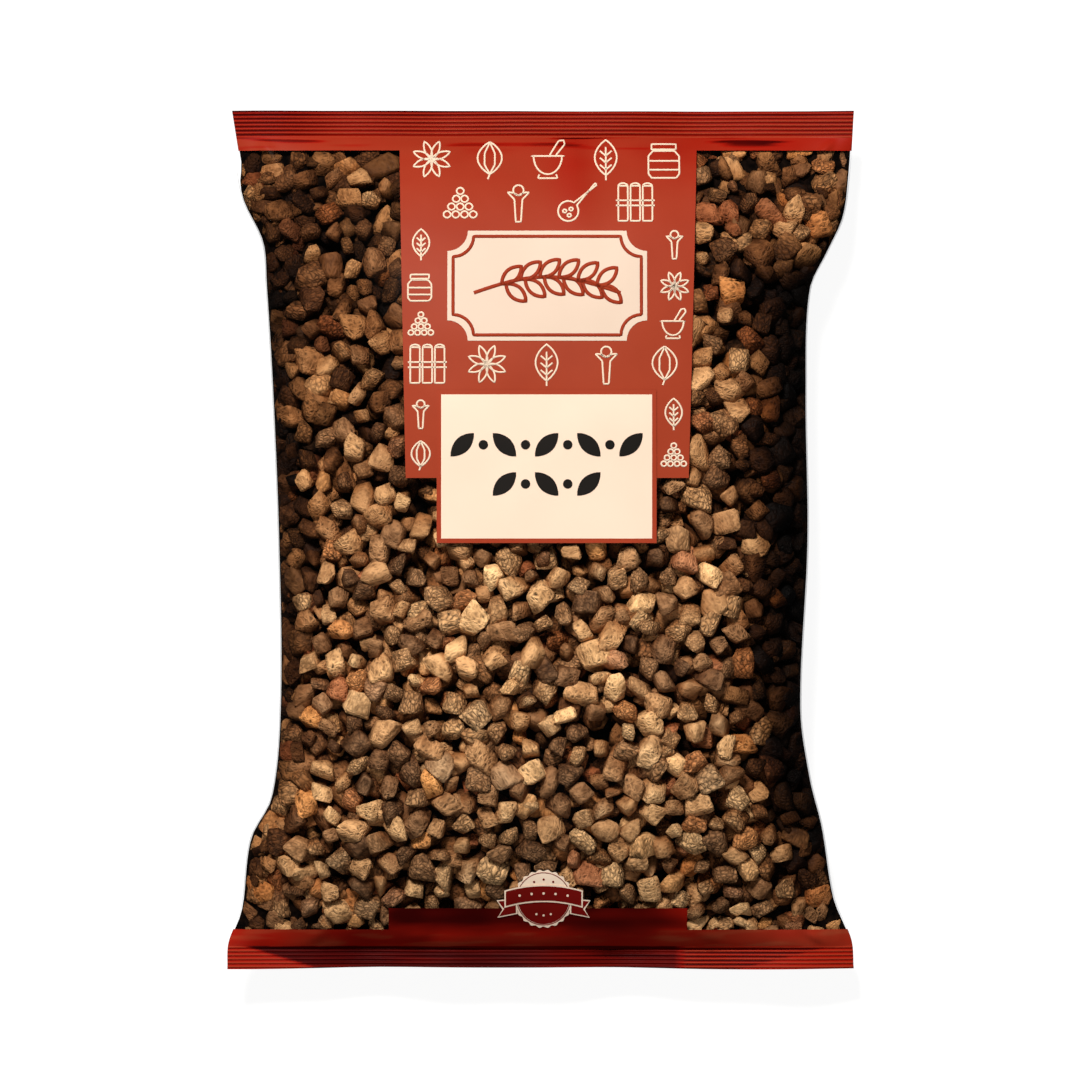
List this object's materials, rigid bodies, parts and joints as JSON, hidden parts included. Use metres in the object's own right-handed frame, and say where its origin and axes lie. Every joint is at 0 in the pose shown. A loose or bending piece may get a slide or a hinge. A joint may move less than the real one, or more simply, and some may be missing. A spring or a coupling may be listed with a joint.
{
  "type": "cardamom seed pouch",
  "caption": "Pillow pouch of clear and red printed film, crimped at both ends, filled with cardamom seeds, with a blank stuck-on label; lies on its back.",
  "frame": {"origin": "centre of the bounding box at its lowest face, which is the table the pouch lies on", "axes": "+Y up the pouch from the bottom seal to the top seal, +Z out of the front, +X to the right seen from the front"},
  "size_m": [0.105, 0.144, 0.0302],
  "materials": {
    "clear_film": "thin clear film, softly glossy",
    "printed_film": "rust red print on the film, softly glossy",
    "cream_print": "cream print on the film, softly glossy",
    "cardamom_seed": "dry wrinkled seed coat, matt",
    "label_paper": "smooth coated paper, satin"
  },
  "bodies": {
    "root": {"pouch_film": "clear_film", "cardamom_seeds": "cardamom_seed", "product_label": "label_paper"}
  },
  "joints": []
}
